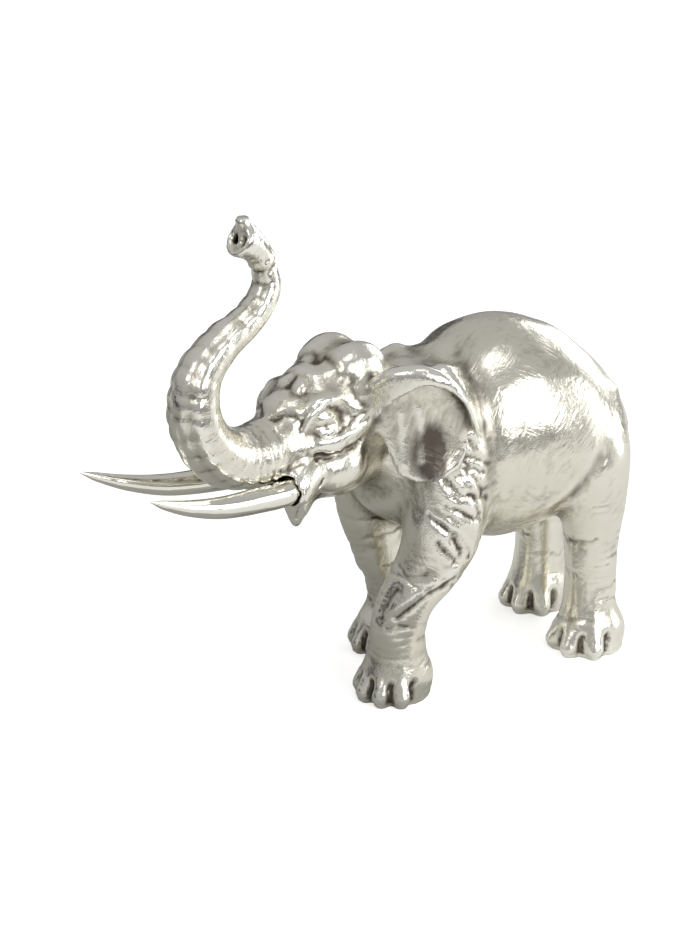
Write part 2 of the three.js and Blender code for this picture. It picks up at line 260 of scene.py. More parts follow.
# A tusk runs from the lip to its tip, [forward, left, up, share of its radius].
TUSK = [
    [43.2, 8.9, -4.2, 1],
    [55.6, 9.5, -2.8, 0.95],
    [68, 10.4, -0.4, 0.82],
    [79.4, 11.4, 3.4, 0.6],
    [87.9, 12.4, 7.2, 0.36],
    [93.7, 13.2, 10.2, 0.1],
]
TUSK_RADIUS = 3.5
TUSK_ROOT_WAY = Vector((-1, -0.07, 0.2)).normalized()
TUSK_ROOT_DEPTH = 9.7
SOCKET_ROOM = 0.45
TUSK_CLEARANCE = 0.05
LIP_WALL = 1.1
TIP_DISH = [(53.6, 0, 64.2), (2.9, 3, 4.6)]
TIP_DISH_TILT = 20  # degrees
TIP_FINGER = [(49, 0, 67), (2.2, 2.2, 2)]
NOSTRIL = [[53, 1.9, 64.4, 1.3, 2], [46.6, 1.5, 60, 0.8, 1.2]]

AXIS_Y = Vector((0, 1, 0))
HEAD_MATRIX = Matrix.Translation(HEAD_PIVOT) @ Matrix.Rotation(math.radians(HEAD_TURN), 4, "Z")


def in_layout(forward, left, up):
    """A point of the head, in the layout of the whole figure."""
    return HEAD_MATRIX @ Vector((-forward, -left, up))


def from_head(stations):
    return [[*in_layout(*station[:3]), *station[3:]] for station in stations]


def through(points, shares):
    """Points along the centripetal Catmull-Rom curve through the given ones, at shares of its stations."""
    points = np.asarray(points, float)
    reach = np.clip(shares, 0, 1) * (len(points) - 1)
    first = np.minimum(reach.astype(int), len(points) - 2)
    rest = (reach - first)[:, None]
    ends = [2 * points[0] - points[1]], points, [2 * points[-1] - points[-2]]
    a, b, c, d = (np.concatenate(ends)[first + k] for k in range(4))

    def gap(p, q):
        return np.maximum(((p - q) ** 2).sum(1) ** 0.25, 1e-4)[:, None]

    ab, bc, cd = gap(a, b), gap(b, c), gap(c, d)
    leave = ((b - a) / ab - (c - a) / (ab + bc) + (c - b) / bc) * bc
    arrive = ((c - b) / bc - (d - b) / (bc + cd) + (d - c) / cd) * bc
    square = -3 * b + 3 * c - 2 * leave - arrive
    cube = 2 * b - 2 * c + leave + arrive
    return b + rest * (leave + rest * (square + rest * cube))


class Limb:
    """A round mass along a curve, with its sections square to the curve and its own size at each station."""

    def __init__(self, stations, across=AXIS_Y):
        self.path = [station[:3] for station in stations]
        self.size = [station[3:5] for station in stations]
        self.across = np.array(across)

    def at(self, shares):
        """Centres, tangents, the two directions of the section and its two half sizes."""
        shares = np.atleast_1d(np.asarray(shares, float))
        step = 1e-3
        centre = through(self.path, shares)
        tangent = through(self.path, shares + step) - through(self.path, shares - step)
        tangent /= np.linalg.norm(tangent, axis=1)[:, None]
        fore = np.cross(tangent, self.across)
        fore /= np.linalg.norm(fore, axis=1)[:, None]
        side = np.cross(fore, tangent)
        return centre, tangent, side, fore, through(self.size, shares)

    def surface(self, share, turn, lift=0.0):
        """A point of its skin: turn is in degrees, from the side direction to the fore direction."""
        centre, _, side, fore, size = (row[0] for row in self.at(share))
        angle = math.radians(turn)
        return centre + side * math.cos(angle) * (size[0] + lift) + fore * math.sin(angle) * (size[1] + lift)

    def share_at_height(self, height):
        shares = np.linspace(0, 1, 200)
        return shares[np.abs(self.at(shares)[0][:, 2] - height).argmin()]

    def locate(self, points, samples=400):
        """For each point: its share along the limb, its turn in radians, and how far out it lies as a share of the section."""
        shares = np.linspace(0, 1, samples)
        centre, _, side, fore, size = self.at(shares)
        nearest = np.empty(len(points), int)
        for start in range(0, len(points), 4096):
            block = points[start : start + 4096]
            reach = ((block[:, None] - centre[None]) ** 2).sum(2)
            nearest[start : start + 4096] = reach.argmin(1)
        off = points - centre[nearest]
        x = (off * side[nearest]).sum(1) / size[nearest, 0]
        y = (off * fore[nearest]).sum(1) / size[nearest, 1]
        return shares[nearest], np.arctan2(y, x), np.hypot(x, y)

    def build(self, bm, sides=36, cuts=6, grow=0.0, rounded=False):
        """Extrudes a ring from station to station and caps both ends."""
        steps = (len(self.path) - 1) * cuts
        shares = np.linspace(0, 1, steps + 1)
        matrices = []
        for i, (centre, tangent, side, fore, size) in enumerate(zip(*self.at(shares))):
            left = (steps - i) / cuts
            size = (size + grow) * (math.sqrt(1 - (1 - left) ** 2) + 0.02 if rounded and left < 1 else 1)
            columns = [*(side * size[0], fore * size[1], tangent, centre)]
            matrices.append(Matrix([[*(column[row] for column in columns)] for row in range(3)] + [[0, 0, 0, 1]]))
        verts = bmesh.ops.create_circle(bm, cap_ends=True, segments=sides, radius=1, matrix=matrices[0])["verts"]
        made = set(verts)
        edges = list({edge for vert in verts for edge in vert.link_edges})
        for before, after in zip(matrices, matrices[1:]):
            new = bmesh.ops.extrude_edge_only(bm, edges=edges)["geom"]
            verts = [item for item in new if isinstance(item, bmesh.types.BMVert)]
            edges = [item for item in new if isinstance(item, bmesh.types.BMEdge) and item.is_boundary]
            bmesh.ops.transform(bm, matrix=after @ before.inverted(), verts=verts)
            made.update(verts)
        bmesh.ops.contextual_create(bm, geom=edges)
        faces = {face for vert in made for face in vert.link_faces}
        bmesh.ops.recalc_face_normals(bm, faces=list(faces))


def head_limb(stations):
    return Limb(from_head(stations), across=HEAD_MATRIX.to_3x3() @ AXIS_Y)


def lump(bm, centre, radii, tilt=0.0, turn=0.0, frame_matrix=Matrix(), detail=4):
    """An egg of three radii, tilted about its side axis and then turned about the vertical."""
    matrix = (
        frame_matrix
        @ Matrix.Translation(centre)
        @ Matrix.Rotation(math.radians(turn), 4, "Z")
        @ Matrix.Rotation(math.radians(tilt), 4, "Y")
        @ Matrix.Diagonal((*radii, 1))
    )
    bmesh.ops.create_icosphere(bm, subdivisions=detail, radius=1, matrix=matrix)


def head_lump(bm, mass, sign=1, **turned):
    (forward, left, up), radii = mass
    lump(bm, (-forward, -left * sign, up), radii, frame_matrix=HEAD_MATRIX, **turned)


def other_side(stations):
    return [[station[0], -station[1], *station[2:]] for station in stations]


def both_sides(stations):
    return stations, other_side(stations)


def laid_back(station):
    """The right ear is the left one turned back about its root and lowered."""
    forward, left, low, high, thick = station
    root = Vector(EAR[0][:2])
    way = Matrix.Rotation(math.radians(EAR_LAID_BACK), 2) @ (Vector((forward, left)) - root)
    return [root.x + way.x, root.y + way.y, low - EAR_LOWERED, high - EAR_LOWERED, thick]


def stood_off(station, share):
    forward, left, *rest = station
    return [forward, left + EAR_PROUD * share, *rest]


RIGHT_EAR = [laid_back(station) for station in EAR]
LEFT_EAR = [stood_off(station, share) for station, share in zip(EAR, np.linspace(0, 1, len(EAR)) ** 0.7)]

LIMBS = {
    "torso": Limb(TORSO),
    "left_foreleg": Limb(LEFT_FORELEG),
    "right_foreleg": Limb(RIGHT_FORELEG),
    "left_hindleg": Limb(LEFT_HINDLEG),
    "right_hindleg": Limb(RIGHT_HINDLEG),
    "tail": Limb(TAIL),
    "trunk": head_limb(TRUNK),
}


def tusk_stations(depth):
    root = Vector(TUSK[0][:3]) + TUSK_ROOT_WAY * depth
    shares = [[*root, 1], *TUSK]
    return [[forward, left, up, share * TUSK_RADIUS, share * TUSK_RADIUS] for forward, left, up, share in shares]


def lip_stations():
    (back, side, rise), (front, out, level) = (station[:3] for station in tusk_stations(TUSK_ROOT_DEPTH)[:2])
    radius = TUSK_RADIUS + SOCKET_ROOM + LIP_WALL
    return [
        [back - 4, side - 1, rise + 1, radius, radius * 1.1],
        [back + 4, side, rise, radius, radius * 1.08],
        [front - 2, out, level, radius, radius],
        [front + 0.6, out, level, radius * 0.86, radius * 0.86],
    ]


def ear(bm, stations, side):
    """A dished sheet whose top edge is folded over towards the front, then given its thickness."""
    columns, rows = 44, 52
    shares = np.linspace(0, 1, columns)
    path = through([[-forward, -left * side, 0] for forward, left, *_ in stations], shares)
    tangent = np.gradient(path, axis=0)
    tangent /= np.linalg.norm(tangent, axis=1)[:, None]
    front = np.stack([tangent[:, 1], -tangent[:, 0], np.zeros(columns)], 1) * side
    reach = through([station[2:] for station in stations], shares)
    folds = np.interp(shares, *zip(*EAR_FOLD))
    radius = EAR_HEM_RADIUS
    made = bmesh.ops.create_grid(bm, x_segments=columns - 1, y_segments=rows - 1, size=1)["verts"]
    for vert in made:
        i = round((vert.co.x + 1) / 2 * (columns - 1))
        low, top = reach[i, 0], reach[i, 1] - radius
        length = (vert.co.y + 1) / 2 * (top - low + math.pi * radius + folds[i])
        over = max(0, length - (top - low))
        turn = min(over / radius, math.pi)
        share = min(length / (top - low), 1)
        sunk = EAR_HOLLOW * (1 - (2 * share - 1) ** 2) * math.sin(math.pi * shares[i])
        ahead = radius * (1 - math.cos(turn)) - sunk
        rise = low + (top - low) * share + radius * math.sin(turn) - max(0, over - math.pi * radius)
        vert.co = HEAD_MATRIX @ Vector(path[i] + front[i] * ahead + np.array([0, 0, rise]))
    faces = list({face for vert in made for face in vert.link_faces})
    bmesh.ops.recalc_face_normals(bm, faces=faces)
    bmesh.ops.solidify(bm, geom=faces, thickness=EAR_THICKNESS)


def foot(bm, stations, toe_count):
    """Toes in a half circle round the front of a foot, each with its nail."""
    x, y, _, wide, deep = stations[-1]
    for i in range(toe_count):
        turn = (i - (toe_count - 1) / 2) * 180 / toe_count
        angle = math.radians(turn)
        out = Vector((-math.cos(angle) * deep, -math.sin(angle) * wide, 0))
        lump(bm, Vector((x, y, TOE_HEIGHT)) + out * TOE_SET, TOE_RADII, turn=turn)
        nail = Vector((x, y, TOE_HEIGHT - 0.6)) + out * (TOE_SET + 0.25)
        lump(bm, nail, NAIL_RADII, turn=turn, tilt=8)


def heavy_masses(bm):
    for name in ("torso", "left_foreleg", "right_foreleg", "left_hindleg", "right_hindleg", "trunk"):
        LIMBS[name].build(bm)
    head_lump(bm, SKULL)
    head_lump(bm, FACE)
    for stations in (FOREHEAD, JAW):
        head_limb(stations).build(bm)
    for table in (CHEEKBONE, BROW):
        for stations in both_sides(table):
            head_limb(stations).build(bm, sides=24)
    for mass in (FOREHEAD_BOSS, TRUNK_BOSS):
        head_lump(bm, mass)
    for sign in (1, -1):
        head_lump(bm, DOME, sign)
        head_lump(bm, JOWL, sign)
        head_lump(bm, TEMPLE, sign)
        head_lump(bm, CHEEK, sign)


def fine_masses(bm):
    for stations, toe_count in (
        (LEFT_FORELEG, FORE_TOES),
        (RIGHT_FORELEG, FORE_TOES),
        (LEFT_HINDLEG, HIND_TOES),
        (RIGHT_HINDLEG, HIND_TOES),
    ):
        foot(bm, stations, toe_count)
    LIMBS["tail"].build(bm, sides=20)
    head_limb(LOWER_LIP).build(bm)
    for table in (UPPER_LID, LOWER_LID, lip_stations()):
        for stations in both_sides(table):
            head_limb(stations).build(bm, sides=24)
    for sign in (1, -1):
        head_lump(bm, BROW_BUMP, sign)
        head_lump(bm, EYEBALL, sign)
    head_lump(bm, TIP_FINGER)
    ear(bm, LEFT_EAR, 1)
    ear(bm, RIGHT_EAR, -1)


def hollows(bm):
    for table, room in ((tusk_stations(TUSK_ROOT_DEPTH + 0.3), SOCKET_ROOM), (NOSTRIL, 0)):
        for stations in both_sides(table):
            head_limb(stations).build(bm, sides=28, grow=room)
    head_lump(bm, TIP_DISH, tilt=-TIP_DISH_TILT)


def settled(name, build, modifiers, base=None):
    """The mesh that the modifiers leave of what build adds to base."""
    bm = bmesh.new()
    if base:
        bm.from_mesh(base)
    build(bm)
    mesh = bpy.data.meshes.new(name)
    bm.to_mesh(mesh)
    bm.free()
    work = bpy.data.objects.new(name, mesh)
    bpy.context.scene.collection.objects.link(work)
    for kind, values in modifiers:
        modifier = work.modifiers.new(kind.title(), kind)
        for key, value in values.items():
            setattr(modifier, key, value)
    graph = bpy.context.evaluated_depsgraph_get()
    result = bpy.data.meshes.new_from_object(work.evaluated_get(graph))
    bpy.data.objects.remove(work)
    return result


def read(mesh):
    """The corners, edges and normals of a mesh, as arrays."""
    corners = np.empty(len(mesh.vertices) * 3)
    mesh.vertices.foreach_get("co", corners)
    edges = np.empty(len(mesh.edges) * 2, int)
    mesh.edges.foreach_get("vertices", edges)
    normals = np.empty(len(mesh.vertices) * 3)
    mesh.vertex_normals.foreach_get("vector", normals)
    return corners.reshape(-1, 3), edges.reshape(-1, 2), normals.reshape(-1, 3)


def write(mesh, corners):
    mesh.vertices.foreach_set("co", corners.ravel())
    mesh.update()


def relaxed(values, edges, rounds, factor=0.5):
    """The values after each has moved towards the mean of its neighbours, so many times."""
    a, b = edges.T
    count = np.bincount(edges.ravel(), minlength=len(values))[:, None]
    for _ in range(rounds):
        total = np.stack(
            [
                np.bincount(a, values[b, k], len(values)) + np.bincount(b, values[a, k], len(values))
                for k in range(values.shape[1])
            ],
            1,
        )
        values = values + factor * (total / np.maximum(count, 1) - values)
    return values


def fill_creases(mesh, rounds, kept):
    """Rounds out the creases where masses meet, and keeps what stands proud."""
    corners, edges, normals = read(mesh)
    smooth = relaxed(corners, edges, rounds)
    lift = ((smooth - corners) * normals).sum(1)
    lift = np.where(lift > 0, lift, lift * (1 - kept))
    lift = relaxed(lift[:, None], edges, 4)
    write(mesh, relaxed(corners + normals * lift, edges, 3))


class Carver:
    """Raises and sinks the skin of a mesh along its own normals."""

    def __init__(self, mesh):
        self.mesh = mesh
        self.corners, self.edges, self.normals = read(mesh)
        self.lift = np.zeros(len(self.corners))
        self.tree = KDTree(len(self.corners))
        for i, corner in enumerate(self.corners):
            self.tree.insert(corner, i)
        self.tree.balance()

    def stroke(self, points, width, height):
        """A soft ridge, or a groove where height is below nought, along a curve that is first laid on the skin."""
        line = through(points, np.linspace(0, 1, 6 * len(points)))
        line = np.array([self.corners[self.tree.find(point)[1]] for point in line])
        line = through(line, np.linspace(0, 1, 4 * len(points)))
        near = ((self.corners > line.min(0) - 2.5 * width) & (self.corners < line.max(0) + 2.5 * width)).all(1)
        near = np.flatnonzero(near)
        spot = self.corners[near]
        closest = np.full(len(near), np.inf)
        for start, end in zip(line, line[1:]):
            way = end - start
            share = np.clip(((spot - start) @ way) / max(way @ way, 1e-9), 0, 1)
            closest = np.minimum(closest, ((spot - start - share[:, None] * way) ** 2).sum(1))
        self.lift[near] += height * np.exp(-closest / width**2)

    def finish(self):
        lift = np.clip(relaxed(self.lift[:, None], self.edges, 1, 0.3), -2.4, 1.6)
        self.corners = self.corners + self.normals * lift
        write(self.mesh, self.corners)


def grain(points, scale, seed=0.0):
    """Smooth noise at each point, from -1 to 1; scale is how many features there are in a module along each axis."""
    moved = points * np.asarray(scale) + seed
    return np.array([noise.noise(place) for place in moved.tolist()])


def smooth_step(values, low, high):
    share = np.clip((values - low) / (high - low), 0, 1)
    return share * share * (3 - 2 * share)


def bell(values, middle, width):
    return np.exp(-(((values - middle) / width) ** 2))


# Folds of the head, in its own stations, cut on both sides: [points, width, height].
HEAD_FOLDS = [
    [[(38.4, 8.6, 11.6), (37, 8.6, 14.2), (35, 9.2, 16.2), (32.6, 9.8, 16.8)], 0.7, -0.9],
    [[(25.4, 11, 15.4), (23.6, 11, 13), (22.6, 11.6, 10.6)], 0.8, -0.2],
    [[(35.4, 9, 2.4), (33.6, 9.1, 3.2), (31, 9.4, 3), (27, 10.6, 3), (23.4, 11.4, 3.4), (20.8, 11.2, 4.6)], 0.8, -1.5],
    [[(38.6, 8.8, 8.4), (38.8, 8.8, 5), (37.4, 8.9, 1.8)], 1.2, 0.5],
    [[(20.6, 9.4, 20.6), (21.4, 10, 17.6), (19.8, 11, 14.4)], 1.4, -0.7],
    [[(41.8, 2, 13), (40.4, 4.2, 14.4), (38.6, 6.4, 14.2), (37.8, 8, 12.6)], 0.9, -0.8],
    [[(24.6, 0.6, 23.2), (22.2, 1.8, 23.8), (21.4, 4.6, 22.6), (22.4, 7.6, 20.4)], 1.3, -0.6],
    [[(30.6, 8.2, 15.6), (27.6, 9.6, 15.2), (25.4, 10.4, 13)], 0.55, -0.25],
    [[(34, 9.4, 8.6), (31, 10.4, 7.8), (28.4, 11.2, 7.8), (26, 11.8, 8.8)], 0.5, -0.5],
    [[(24.6, 12.2, 9.6), (22.6, 12.6, 11.2), (20, 13, 12.4)], 0.5, -0.4],
    [[(24.4, 12.4, 8), (21.6, 13, 9.2), (18.6, 13.6, 10.6)], 0.5, -0.35],
    [[(26, 11.8, 6), (22.6, 12.6, 6.8), (19.6, 13, 8)], 0.5, -0.3],
    [[(33, 2.4, -7), (33.6, 2.6, -12), (33.2, 1.6, -17)], 0.7, -0.4],
    [[(27.4, 4.6, -9), (28.6, 3.8, -14), (30.4, 1.8, -18.4)], 0.8, -0.4],
]
PUPIL, PUPIL_SIZE, PUPIL_DEPTH = (31.6, 10.8, 10.9), 0.65, -0.6
BUMP_MIDDLE, BUMP_VALLEY = (32.6, 2.6, 20), 3.1
EAR_RIBS = [
    [(12.4, 19, 11), (12, 19.4, 4), (11.8, 20.2, -3)],
    [(9, 22.4, 12), (8, 22.8, 5), (8.4, 23, -2)],
]
# Folds of the trunk of the body, [points, width, height], cut on both sides.
BODY_FOLDS = [
    [[(-22, -8, 95), (-21, -17, 88), (-20.6, -22.5, 79), (-20.4, -25, 69), (-21, -25.2, 58), (-21.4, -24.4, 46)], 3.2, -0.9],
    [[(-30, -6, 92), (-28.4, -13, 91), (-27, -18.6, 86), (-26.4, -22.6, 77)], 2.4, 0.7],
    [[(12.4, -26.4, 65), (8.4, -25.8, 59.4), (3.6, -24.2, 53.6), (-0.6, -21.6, 48.2)], 1.8, 0.22],
    [[(15, -26.4, 62), (11, -25.4, 57), (6.4, -23.4, 51.4), (3, -20.4, 46.6)], 2.2, -0.35],
    [[(-46, -15.6, 72), (-44, -18, 64), (-40.6, -20.6, 57)], 1.8, -0.4],
    [[(-43, -17, 76), (-41, -20, 68), (-37.6, -23, 60)], 1.8, -0.35],
]
LEG_RINGS = {
    "left_foreleg": [(25, 44, 7), (10, 20, 4)],
    "right_foreleg": [(25, 44, 7), (10, 20, 4)],
    "left_hindleg": [(12, 40, 8)],
    "right_hindleg": [(12, 40, 8)],
}
# Bold folds across the front of each knee: [height, how much they drop, width, depth].
KNEE_FOLDS = [
    [(168, 41), (198, 35), (230, 28), 1.8, 0.55],
    [(160, 39), (194, 32.6), (224, 26), 1.0, -0.75],
    [(252, 31), (258, 28), (256, 24.4), 1.1, -0.6],
    [(196, 25), (226, 22.6), (262, 22.8), 0.9, -0.35],
    [(214, 37), (244, 34.4), (272, 35), 0.9, -0.3],
]
# A painted dark reflection in the dish of each ear, in the head's frame, and its reach each way.
EAR_PAINTED_REFLECTION, EAR_PAINTED_REFLECTION_REACH = (6.2, 25, -1.4), (4.2, 9, 10)
FEET = (
    ("left_foreleg", FORE_TOES),
    ("right_foreleg", FORE_TOES),
    ("left_hindleg", HIND_TOES),
    ("right_hindleg", HIND_TOES),
)
TRUNK_RINGS = 28
PALM_RIDGE = 57  # degrees, from the middle of the trunk's underside
SOLE_GROOVE = 1.5  # modules, above the ground


def carve_trunk(carver):
    """Rings that are deepest on the trunk's underside, its two edges, the collar behind the tip and its folded root."""
    limb = LIMBS["trunk"]
    share, turn, out = limb.locate(carver.corners)
    on = smooth_step(share, 0.06, 0.16) * (1 - smooth_step(share, 0.95, 0.985)) * (out < 1.35)
    from_palm = np.abs(np.degrees(turn) - 90)
    from_palm = np.minimum(from_palm, 360 - from_palm)
    radius = through(limb.size, share).mean(1)
    jitter = 0.0045 * grain(carver.corners, 0.15, 7)
    ring = np.abs(np.sin((share + jitter) * np.pi * TRUNK_RINGS)) ** 0.7 - 0.65
    patchy = 0.6 + 0.5 * grain(carver.corners, 0.22, 31)
    palm = 1 - smooth_step(from_palm, 48, 66)
    edge = bell(from_palm, PALM_RIDGE, 13)
    strength = 0.06 * palm + 0.085 * edge + 0.022
    carver.lift += on * radius * ring * strength * patchy
    body = on * smooth_step(share, 0.16, 0.26)
    carver.lift += body * radius * (0.06 * edge - 0.05 * bell(from_palm, 38, 14) - 0.035 * palm)
    carver.lift += on * (0.4 * bell(share, 0.825, 0.012) - 0.55 * bell(share, 0.8, 0.008))
    root = smooth_step(share, 0.05, 0.1) * (1 - smooth_step(share, 0.26, 0.36)) * (from_palm > 60) * (out < 1.4)
    folds = np.abs(np.sin((share + 3 * jitter) * np.pi * TRUNK_RINGS * 1.8)) ** 0.6 - 0.7
    carver.lift += 0.26 * root * folds * (0.7 + 0.8 * grain(carver.corners, (0.3, 0.3, 0.1), 3))


def carve_legs(carver):
    """Creases that go part of the way round each leg, and the line round its sole."""
    rng = np.random.default_rng(7)
    for name, bands in LEG_RINGS.items():
        limb = LIMBS[name]
        for low, high, count in bands:
            for k in range(count):
                height = low + (high - low) * (k + rng.uniform(-0.3, 0.3)) / max(count - 1, 1)
                start = rng.uniform(-180, 180)
                reach = rng.uniform(50, 130)
                slope = rng.uniform(-2.6, 2.6)
                points = []
                for step in range(6):
                    along = step / 5
                    share = limb.share_at_height(height + slope * along + rng.uniform(-0.5, 0.5))
                    points.append(limb.surface(share, start + reach * along))
                carver.stroke(points, rng.uniform(0.5, 0.9), -rng.uniform(0.12, 0.36))
    height = carver.corners[:, 2]
    carver.lift -= 0.4 * bell(height, SOLE_GROOVE, 0.4)
    legs = (1 - smooth_step(height, 44, 56)) * smooth_step(height, 9, 12)
    warp = height + 2.4 * grain(carver.corners, 0.12, 51)
    creases = np.abs(np.sin(warp * np.pi / 2.3)) ** 0.5 - 0.75
    patches = smooth_step(grain(carver.corners, (0.16, 0.16, 0.1), 77), 0.0, 0.45)
    carver.lift += 0.28 * legs * creases * patches


def carve_knees(carver):
    """Slanting folds over the bent knees, given by their angle round the left one, from the back, and their height."""
    for name, way in (("left_foreleg", 1), ("right_foreleg", -1)):
        limb = LIMBS[name]
        for *points, width, depth in KNEE_FOLDS:
            path = [
                limb.surface(limb.share_at_height(height), 90 + way * (angle - 90)) for angle, height in points
            ]
            carver.stroke(path, width, depth)


def carve_feet(carver):
    """Deep grooves between the toes, up to the ankle."""
    for name, count in FEET:
        limb = LIMBS[name]
        x, y, _, wide, deep = {
            "left_foreleg": LEFT_FORELEG,
            "right_foreleg": RIGHT_FORELEG,
            "left_hindleg": LEFT_HINDLEG,
            "right_hindleg": RIGHT_HINDLEG,
        }[name][-1]
        for k in range(count + 1):
            angle = math.radians((k - count / 2) * 180 / count)
            out = np.array([-math.cos(angle) * deep, -math.sin(angle) * wide])
            rise = [(1.02, 0.2), (1.1, 2.4), (1.08, 4.8), (1.0, 7)]
            points = [(x + out[0] * way, y + out[1] * way, height) for way, height in rise]
            carver.stroke(points, 0.8, -1.2)


def carve_arms(carver):
    """Loose skin in short slanting folds, where each foreleg leaves the chest."""
    rng = np.random.default_rng(23)
    for name, outside, way in (("left_foreleg", 180, 1), ("right_foreleg", 0, -1)):
        limb = LIMBS[name]
        for k in range(26):
            height = rng.uniform(44, 74)
            start = rng.uniform(-60, 10)
            reach = rng.uniform(16, 46)
            slope = rng.uniform(2.5, 6.5)
            points = []
            for step in range(5):
                along = step / 4
                share = limb.share_at_height(height - slope * along + rng.uniform(-0.3, 0.3))
                points.append(limb.surface(share, outside - way * (start + reach * along)))
            carver.stroke(points, rng.uniform(0.5, 0.95), -rng.uniform(0.25, 0.7))


def carve_folds(carver):
    for side in (1, -1):
        for points, width, height in HEAD_FOLDS:
            carver.stroke([in_layout(forward, left * side, up) for forward, left, up in points], width, height)
        for points, width, height in BODY_FOLDS:
            carver.stroke([(x, y * side, z) for x, y, z in points], width, height)
        forward, left, up = BUMP_MIDDLE
        valley = [
            in_layout(
                forward + 0.6 * BUMP_VALLEY * math.cos(angle),
                (left + BUMP_VALLEY * math.sin(angle)) * side,
                up + 0.7 * BUMP_VALLEY * math.cos(angle + math.pi),
            )
            for angle in np.linspace(0, 2 * math.pi, 9)
        ]
        carver.stroke(valley, 0.9, -0.4)
        forward, left, up = PUPIL
        spot = [in_layout(forward + shift, left * side, up) for shift in (-0.1, 0, 0.1)]
        carver.stroke(spot, PUPIL_SIZE, PUPIL_DEPTH)
    for points in EAR_RIBS:
        carver.stroke([in_layout(*point) for point in points], 1.3, 0.45)


def carve_hide(carver):
    """The chaser's uneven surface, a coarse grain and a finer one over the whole skin."""
    coarse = grain(carver.corners, (0.14, 0.14, 0.11), 11)
    fine = grain(carver.corners, (0.4, 0.4, 0.26), 19)
    carver.lift += 0.2 * coarse + 0.06 * fine


def shape_skin(settings):
    """The whole casting in layout modules: heavy masses with rounded creases, then the fine ones, then the carving."""
    voxel = {"mode": "VOXEL", "use_smooth_shade": True}
    mesh = settled("masses", heavy_masses, [("REMESH", voxel | {"voxel_size": settings.rough_voxel})])
    fill_creases(mesh, settings.crease_rounds, 0.85)
    cutter = settled("hollows", hollows, [("REMESH", voxel | {"voxel_size": 0.4})])
    holder = bpy.data.objects.new("hollows", cutter)
    bpy.context.scene.collection.objects.link(holder)
    fine = ("REMESH", voxel | {"voxel_size": settings.fine_voxel})
    cut = ("BOOLEAN", {"operation": "DIFFERENCE", "object": holder, "solver": "FAST"})
    mesh = settled("skin", fine_masses, [fine, cut, fine], base=mesh)
    bpy.data.objects.remove(holder)
    fill_creases(mesh, 5, 0.8)
    carver = Carver(mesh)
    carve_trunk(carver)
    carve_legs(carver)
    carve_knees(carver)
    carve_feet(carver)
    carve_arms(carver)
    carve_folds(carver)
    carve_hide(carver)
    carver.finish()
    return mesh


def mark_hollows(mesh):
    """Stores how deep in the hollows and how far out on an edge each corner lies, for the tarnish and painted shade in
    the hollows and the worn edges, and where the painted dark reflection lies in each ear, for the finish to read.
    """
    corners, edges, normals = read(mesh)
    # How deep each corner lies in the hollows; the finish darkens these both as tarnish and as painted shade.
    close = ((relaxed(corners, edges, 5) - corners) * normals).sum(1)
    wide = ((relaxed(corners, edges, 30) - corners) * normals).sum(1)
    depth = close / 0.22 + wide / 0.9
    # A painted dark reflection in the dish of each ear, of uneven strength.
    painted_reflection = np.zeros(len(corners))
    forward, left, up = EAR_PAINTED_REFLECTION
    for side in (1, -1):
        off = (corners - np.array(in_layout(forward, left * side, up))) / EAR_PAINTED_REFLECTION_REACH
        painted_reflection += np.exp(-((off**2).sum(1) ** 2))
    painted_reflection *= 0.75 + 0.5 * grain(corners, (0.35, 0.35, 0.2), 5)
    for name, values in (("hollow_tarnish_and_shade", depth), ("crest", -depth), ("painted_reflection", painted_reflection)):
        attribute = mesh.attributes.new(name, "FLOAT", "POINT")
        attribute.data.foreach_set("value", np.clip(values, 0, 1).astype(np.float32))


def put_in_place(mesh):
    """From layout modules to metres in the frame, with the soles on the ground and nothing outside the solids' box."""
    corners = read(mesh)[0] * MODULE + np.array(PLACE)
    write(mesh, np.clip(corners, np.array(CAD_BOX[0]), np.array(CAD_BOX[1])))
    mesh.polygons.foreach_set("use_smooth", [True] * len(mesh.polygons))


def add_piece(name, mesh, material, node):
    piece = bpy.data.objects.new(name, mesh)
    bpy.context.scene.collection.objects.link(piece)
    mesh.materials.clear()
    mesh.materials.append(material)
    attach(piece, "root")
    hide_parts(node)
    return piece


def model_elephant(settings, finish):
    mesh = shape_skin(settings)
    bm = bmesh.new()
    bm.from_mesh(mesh)
    everything = bm.verts[:] + bm.edges[:] + bm.faces[:]
    cut = bmesh.ops.bisect_plane(bm, geom=everything, plane_co=(0, 0, 0), plane_no=(0, 0, -1), clear_outer=True)
    rims = [item for item in cut["geom_cut"] if isinstance(item, bmesh.types.BMEdge)]
    soles = bmesh.ops.contextual_create(bm, geom=rims)["faces"]
    bmesh.ops.triangulate(bm, faces=soles)
    bm.to_mesh(mesh)
    bm.free()
    mark_hollows(mesh)
    put_in_place(mesh)
    add_piece("elephant_chased", mesh, cast_silver(finish), "elephant")


def model_tusks(finish):
    material = polished_silver(finish)
    stations = tusk_stations(TUSK_ROOT_DEPTH)
    for name, side in zip(("left", "right"), both_sides(stations)):
        bm = bmesh.new()
        head_limb(side).build(bm, sides=64, cuts=16, grow=-TUSK_CLEARANCE, rounded=True)
        bmesh.ops.transform(bm, matrix=Matrix.Translation(PLACE) @ Matrix.Scale(MODULE, 4), verts=bm.verts)
        mesh = bpy.data.meshes.new(f"{name}_tusk_polished")
        bm.to_mesh(mesh)
        bm.free()
        mesh.polygons.foreach_set("use_smooth", [True] * len(mesh.polygons))
        add_piece(f"{name}_tusk_polished", mesh, material, f"{name}_tusk")


